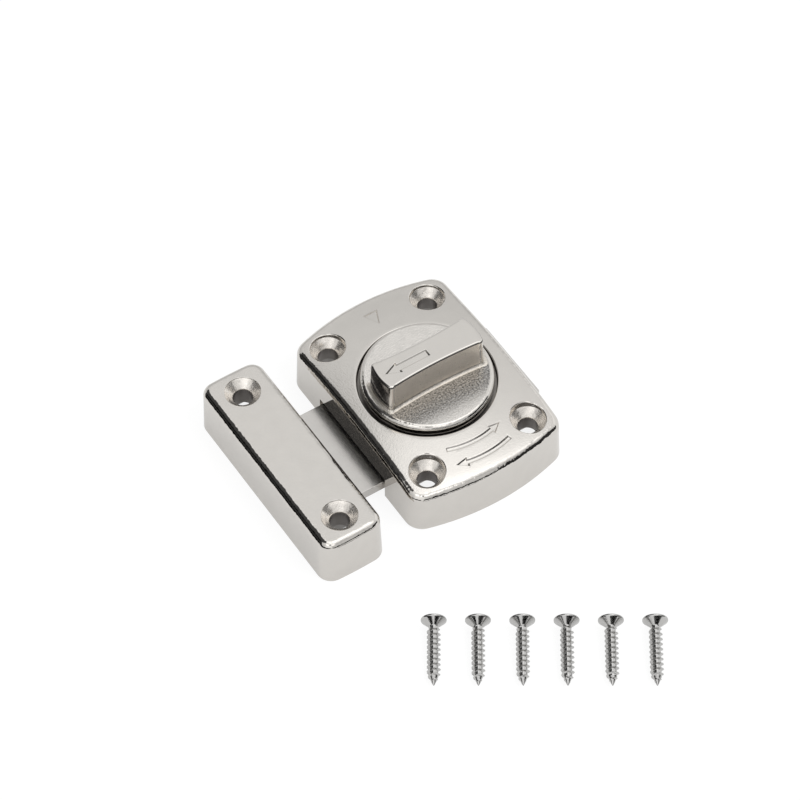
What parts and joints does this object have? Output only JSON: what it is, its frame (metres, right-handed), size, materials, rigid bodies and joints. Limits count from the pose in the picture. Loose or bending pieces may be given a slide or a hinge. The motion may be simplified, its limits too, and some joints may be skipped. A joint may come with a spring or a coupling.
{
  "type": "surface-mounted door latch",
  "caption": "Surface-mounted door latch with a domed cast casing, a turn knob, a flat sliding bolt, a matching keep and loose wood screws.",
  "frame": {"origin": "middle of the back plate's outer face, level with the casing's back edge, on the knob's axis", "axes": "+Z out from the door, along the knob's axis; +Y towards the triangle mark; -X towards the keep, along the bolt"},
  "size_m": [0.0668, 0.1162, 0.023],
  "materials": {
    "nickel": "satin nickel plate on a zinc casting",
    "steel": "zinc-plated steel, smooth",
    "spring_steel": "plain spring steel",
    "plastic": "natural acetal",
    "screw": "nickel-plated steel, bright"
  },
  "bodies": {
    "housing": {"casing": "nickel", "keep": "nickel", "back_plate": "steel", "glide_strips": "plastic", "plate_rivets": "steel", "bearing_bush": "plastic", "wood_screws": "screw"},
    "turn": {"knob": "nickel", "spindle": "steel", "cone_washer": "spring_steel", "detent_ball": "steel", "detent_spring": "spring_steel", "crank_plate": "steel", "crank_pin": "steel", "lock_washer": "spring_steel", "crank_screw": "steel"},
    "slider": {"bolt": "steel"}
  },
  "joints": [
    {"name": "knob_turn", "type": "hinge", "parent": "housing", "child": "turn", "pos_m": [0, 0, 0], "axis": [0, 0, 1], "range_deg": [-90, 0]},
    {"name": "bolt_slide", "type": "slide", "parent": "housing", "child": "slider", "axis": [1, 0, 0], "range_m": [0, 0.012]}
  ],
  "couplings": [
    {"joint": "knob_turn", "follows": "bolt_slide", "rad_per_m": -130.89}
  ]
}
